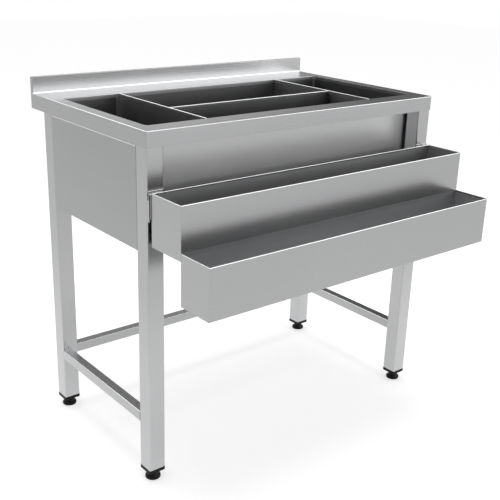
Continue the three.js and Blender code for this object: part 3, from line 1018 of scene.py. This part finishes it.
def settle_tray(piece, node):
    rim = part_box(node)[1].z

    def on_hem(face):
        return face.normal.z > HEM_SLOPE and heart(face).z > rim - TRAY_BEND

    # Painted highlight on the hem.
    refinish(piece, hem_highlight_steel, on_hem)
    settle(piece, "bottle_rail", "satin_steel", node)


print("tray functions ready")

# %% [markdown]
# The upper tray has the hem all round. Its long walls inside get painted shade, and its
# inner ends the lower tray's inside tone, lighter as painted light.

# %% Upper tray
def on_end_inside(face):
    return abs(face.normal.x) > MOSTLY and face.normal.x * heart(face).x < 0


upper = tray_shell("upper_rail_tray", "upper_rail", rear_hem=True)
# The upper tray's inside carries painted shade.
thicken(upper, SHEET, rail_steel, upper_inside_shade)
# Painted light on the upper tray's inner ends.
refinish(upper, lower_inside_light, on_end_inside)
settle_tray(upper, "upper_rail")

# %% [markdown]
# The lower tray's rear wall lies flat on the upper tray, so it has no hem there and its edge
# is ground down to nothing. The rear wall's inside gets painted shade, darker towards its rim.

# %% Lower tray
FEATHER = 0.0001
SLACK = 0.1 * SHEET
lower_low, lower_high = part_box("lower_rail")
lower = tray_shell("lower_rail_tray", "lower_rail", rear_hem=False)
# The lower tray's inside carries painted light.
thicken(lower, SHEET, rail_steel, lower_inside_light)


def at_rear_rim(vert):
    depth, drop = lower_high.y - vert.co.y, lower_high.z - vert.co.z
    return abs(depth - SHEET) < SLACK and drop < SHEET + SLACK


def on_rear_inside(face):
    return face.normal.y < -MOSTLY and heart(face).y > (lower_low.y + lower_high.y) / 2


ground = pick(lower, "verts", at_rear_rim)
bpy.ops.transform.translate(value=(0, SHEET - FEATHER, 0))
print(lower.name, "has", ground, "corners ground down at the rear")
# Painted shade on the rear wall's inside, darker towards its rim.
refinish(lower, rear_painted_shade, on_rear_inside)
settle_tray(lower, "lower_rail")

# %% [markdown]
# ## Hangers
# Two hooks on the rail's back drop over the lips of two brackets on the front legs, so the
# rail lifts off for washing. A hook is a strip folded twice.

# %% Hooks
HANGER_SHEET = 0.0015
HOOK_BEND = 0.0022
hook_low, hook_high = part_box("rail_hook_left")
hook = upright_start("rail_hook_left_strip", hook_low, hook_high, Y, hook_low.y)
pick(hook, "edges", lambda edge: runs(edge, X) and near(middle(edge).z, hook_high.z))
extrude(y=hook_high.y - hook_low.y)
extrude(z=hook_low.z - hook_high.z)
face_along(hook, lambda face: near(heart(face).y, hook_low.y), (0, -1, 0))
round_off(hook, is_fold, HOOK_BEND, steps=4)
thicken(hook, HANGER_SHEET, leg_steel)
settle_pair(hook, "bottle_rail", "satin_steel", "rail_hook")

# %% [markdown]
# A bracket is a narrow open pocket: its front wall is extruded up into the lip under the
# hook, and its back wall a little above the rail, where its top edge gets a painted
# highlight, a thin bright line on the leg.

# %% Brackets
POCKET_HEIGHT = 0.050
POCKET_BEND = 0.0012
LIP_GAP = 0.0003
bracket_low, bracket_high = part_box("hanger_bracket_left")
pocket_top = Vector((bracket_high.x, bracket_high.y, bracket_low.z + POCKET_HEIGHT))
lip_top = hook_high.z - HANGER_SHEET - LIP_GAP
bracket = box_start("hanger_bracket_left_pocket", bracket_low, pocket_top)
cut_out(bracket, lambda face: face.normal.z > FACING)
for wall_y, wall_top in ((bracket_low.y, lip_top), (bracket_high.y, bracket_high.z)):

    def on_mouth(edge):
        return near(middle(edge).z, pocket_top.z) and near(middle(edge).y, wall_y)

    pick(bracket, "edges", on_mouth)
    extrude(z=wall_top - pocket_top.z)
face_along(bracket, lambda face: near(heart(face).y, bracket_low.y), (0, -1, 0))
round_off(bracket, is_fold, POCKET_BEND, steps=3)
thicken(bracket, HANGER_SHEET, leg_steel)


def on_bracket_top(face):
    return face.normal.z > MOSTLY and near(heart(face).z, bracket_high.z)


# Painted highlight on the bracket's top edge.
refinish(bracket, hem_highlight_steel, on_bracket_top)
settle_pair(bracket, "frame", "satin_steel", "hanger_bracket")

# %% [markdown]
# ## Rubber stops
# A stop on each front leg touches the rail's back and keeps the rail upright. It is a short
# cylinder with a rounded rim and a sunk middle for its screw.

# %% Stops
STOP_SIDES = 40
STOP_ROUND = 0.0014
STOP_RIM = 0.0032
STOP_SINK = 0.003
stop_low, stop_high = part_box("rail_bumper_left")
stop_size = stop_high - stop_low
bpy.ops.mesh.primitive_cylinder_add(
    vertices=STOP_SIDES, radius=stop_size.x / 2, depth=stop_size.y,
    location=(stop_low + stop_high) / 2, rotation=(radians(90), 0, 0))
stop = begin("rail_stop_left")
round_off(stop, lambda edge: near(middle(edge).y, stop_low.y), STOP_ROUND, steps=4)
pick(stop, "faces", lambda face: face.normal.y < -FACING)
bpy.ops.mesh.inset(thickness=STOP_RIM)
extrude(y=STOP_SINK)
stop.data.materials.append(black_rubber)
settle_pair(stop, "frame", "black_rubber", "rail_bumper")

# %% [markdown]
# ## Drain
# The outlet is turned like the pads: a neck, a flange with a sunk seat for the strainer, and
# a bore. Its lower end is opened by bridging the outer and inner rims.

# %% Outlet
SEAT_DEPTH = 0.0015
COLLAR_HEIGHT = 0.004
NECK_EDGE = 0.0008
seat = neck_high.z - SEAT_DEPTH
collar = neck_high.z - COLLAR_HEIGHT
outlet_rings = [  # radius and height, up the outside and down the bore
    (0.0215, neck_low.z), (0.022, neck_low.z + NECK_EDGE), (0.022, collar), (0.032, collar),
    (0.032, seat), (0.0305, neck_high.z), (0.0269, neck_high.z), (0.0269, seat), (0.017, seat),
    (0.017, neck_low.z),
]


def closes_neck(face):
    return near(heart(face).z, neck_low.z) and len(face.verts) == DRAIN_SIDES


outlet = turned("drain_outlet_turned", neck_centre, outlet_rings, DRAIN_SIDES)
cut_out(outlet, closes_neck)
pick(outlet, "edges", lambda edge: edge.is_boundary)
bpy.ops.mesh.bridge_edge_loops()
bpy.ops.mesh.select_all(action="SELECT")
bpy.ops.mesh.normals_make_consistent(inside=False)
outlet.data.materials.append(zinc_steel)
settle(outlet, "frame", "zinc_steel", "drain_outlet")

# %% [markdown]
# The nut under the tub is a six-sided cylinder with its corners eased, drilled like the tub.
# The strainer's holes are right in the solid model, so that node stays and only gets a
# finish.

# %% Nut and strainer
NUT_SIDES = 6
NUT_CHAMFER = 0.0012
NUT_CORNER = 0.0015
nut_low, nut_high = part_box("drain_nut")
nut_centre = (nut_low + nut_high) / 2
bpy.ops.mesh.primitive_cylinder_add(
    vertices=NUT_SIDES, radius=(nut_high.x - nut_low.x) / 2, depth=nut_high.z - nut_low.z,
    location=nut_centre, rotation=(0, 0, radians(180 / NUT_SIDES)))
nut = begin("drain_nut_ring")
round_off(nut, lambda edge: near(middle(edge).z, nut_low.z), NUT_CHAMFER, steps=2)
round_off(nut, lambda edge: runs(edge, Z), NUT_CORNER, steps=3)
drill(nut, nut_centre)
nut.data.materials.append(zinc_steel)
settle(nut, "frame", "zinc_steel", "drain_nut")

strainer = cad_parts["drain_strainer"]
strainer.data.materials.clear()
strainer.data.materials.append(top_steel)
print("strainer keeps its solid, with", len(strainer.data.polygons), "faces")

# %% [markdown]
# ## Floor and studio
# The station stands on a plain white floor. Seen by the camera and in reflections, the floor
# and the surroundings are white, as in a catalogue picture, while the floor still takes the
# object's shadow.

# %% Floor
FLOOR_SIZE = 24.0
FLOOR_PAINT = (0.85, 0.85, 0.85, 1.0)
FLOOR_GLOW = 0.6
bpy.ops.object.mode_set(mode="OBJECT")
bpy.ops.mesh.primitive_plane_add(size=FLOOR_SIZE, location=(0, 0, 0))
floor = bpy.context.active_object
floor.name = "studio_floor"


def seen_white(tree):
    # One for what the camera sees, directly, in steel or through glass, and nought otherwise.
    path = add(tree, "LightPath").outputs
    seen = math_node(tree, "MAXIMUM", path["Is Camera Ray"], path["Is Glossy Ray"])
    return math_node(tree, "MAXIMUM", seen, path["Is Transmission Ray"])


def bare_finish(name):
    # A material with nothing but its output.
    finish, tree, _ = new_finish(name)
    tree.nodes.clear()
    return finish, tree, add(tree, "OutputMaterial").inputs["Surface"]


floor_paint, tree, surface = bare_finish("white studio floor")
matt = add(tree, "BsdfDiffuse", Color=FLOOR_PAINT)
glow = add(tree, "Emission")
both = add(tree, "AddShader")
glow_level = math_node(tree, "MULTIPLY", seen_white(tree), FLOOR_GLOW)
tree.links.new(glow_level, glow.inputs["Strength"])
tree.links.new(matt.outputs[0], both.inputs[0])
tree.links.new(glow.outputs[0], both.inputs[1])
tree.links.new(both.outputs[0], surface)
floor.data.materials.append(floor_paint)
print("floor:", floor.dimensions.x, "m square")

# %% [markdown]
# The surroundings give an even light, white where they are seen directly or in the steel.
# Three soft lamps add shape. One hangs overhead, draws the bright lines along the bends and
# throws the shadow. The two others only show in the steel, as photographers' cards do: one in
# front at the right for the ledge and the splashback, and one behind at the left for the
# bends that look that way.

# %% World and lamps
AIR_LIGHT = 0.45
world = bpy.data.worlds.new("studio surroundings")
bpy.context.scene.world = world
world.use_nodes = True
tree = world.node_tree
air = tree.nodes["Background"]
air.inputs["Color"].default_value = (1.0, 1.0, 1.0, 1.0)
air_level = add(tree, "MapRange", To_Min=AIR_LIGHT, To_Max=1.0)
tree.links.new(seen_white(tree), air_level.inputs["Value"])
tree.links.new(air_level.outputs["Result"], air.inputs["Strength"])


def softbox(name, spot, aim, size, power):
    lamp = bpy.data.lights.new(name, "AREA")
    lamp.shape = "RECTANGLE"
    lamp.size, lamp.size_y = size
    lamp.energy = power
    holder = bpy.data.objects.new(name, lamp)
    bpy.context.scene.collection.objects.link(holder)
    holder.location = spot
    holder.rotation_euler = (Vector(aim) - Vector(spot)).to_track_quat("-Z", "Y").to_euler()
    return holder


softbox("overhead softbox", spot=(0.0, 0.1, 3.2), aim=(0.0, 0.1, 0.0), size=(2.2, 2.2), power=38.0)
key = softbox("front right softbox", spot=(1.8, -2.2, 1.95), aim=(0.0, 0.2, 0.87),
              size=(3.2, 2.2), power=82.0)
rim = softbox("rear left softbox", spot=(-0.9, 2.4, 2.5), aim=(-0.3, 0.0, 0.87),
              size=(2.2, 1.2), power=30.0)
for card in (key, rim):
    card.visible_diffuse = False

# %% [markdown]
# A large grey screen far behind, at the right, is mirrored by everything flat that looks up:
# the rims of the worktop and the tops of the stretchers. It fades from white to dark grey
# towards the right and upwards, which gives each of these faces its own tone. The camera
# does not see it, and it lights nothing.

# %% Grey screen
SCREEN_TURN = radians(44)
SCREEN_AWAY = 8.0
SCREEN_WIDTH = 10.8
SCREEN_HEIGHT = 7.0
bpy.ops.mesh.primitive_plane_add(
    size=1.0, rotation=(radians(90), 0, -SCREEN_TURN),
    location=(SCREEN_AWAY * sin(SCREEN_TURN), SCREEN_AWAY * cos(SCREEN_TURN), SCREEN_HEIGHT / 2))
screen = bpy.context.active_object
screen.name = "grey_screen"
screen.scale = (SCREEN_WIDTH, SCREEN_HEIGHT, 1.0)
bpy.ops.object.transform_apply(location=False, rotation=False, scale=True)
screen_paint, tree, surface = bare_finish("grey screen")
shade = add(tree, "Emission")
split = add(tree, "SeparateXYZ")
tree.links.new(add(tree, "TexCoord").outputs["Object"], split.inputs[0])


def fade(axis, places, levels):
    # Goes from one level to the other between two places on the screen, in metres.
    ramp = add(tree, "MapRange", From_Min=places[0], From_Max=places[1],
               To_Min=levels[0], To_Max=levels[1])
    tree.links.new(split.outputs[axis], ramp.inputs["Value"])
    return ramp.outputs["Result"]


across = fade("X", places=(-1.7, 0.8), levels=(1.26, 0.2))
upwards = fade("Y", places=(-0.8, -0.2), levels=(1.0, 0.12))
tree.links.new(math_node(tree, "MULTIPLY", across, upwards), shade.inputs["Strength"])
tree.links.new(shade.outputs[0], surface)
screen.data.materials.append(screen_paint)
screen.visible_camera = False
screen.visible_diffuse = False
screen.visible_shadow = False
print("screen:", [round(v, 2) for v in screen.dimensions])

# %% [markdown]
# ## Camera
# The picture is taken from the front left, a little above the worktop, with a lens of about
# 60 mm. The angles were found from the vanishing lines of the legs, the worktop and the rail.

# %% Camera
VIEW_TURN = radians(39.43)
VIEW_DROP = radians(19.80)
VIEW_ROLL = radians(1.83)
CAMERA_SPOT = (-1.3784, -1.6362, 1.2331)
LENS = 60.1
camera_data = bpy.data.cameras.new("catalogue camera")
camera_data.sensor_width = 36.0
camera_data.lens = LENS
camera = bpy.data.objects.new("catalogue camera", camera_data)
bpy.context.scene.collection.objects.link(camera)
turn = Matrix.Rotation(-VIEW_TURN, 4, "Z")
drop = Matrix.Rotation(radians(90) - VIEW_DROP, 4, "X")
roll = Matrix.Rotation(VIEW_ROLL, 4, "Z")
camera.matrix_world = Matrix.Translation(CAMERA_SPOT) @ turn @ drop @ roll
bpy.context.scene.camera = camera
print("camera at", [round(v, 3) for v in camera.location])
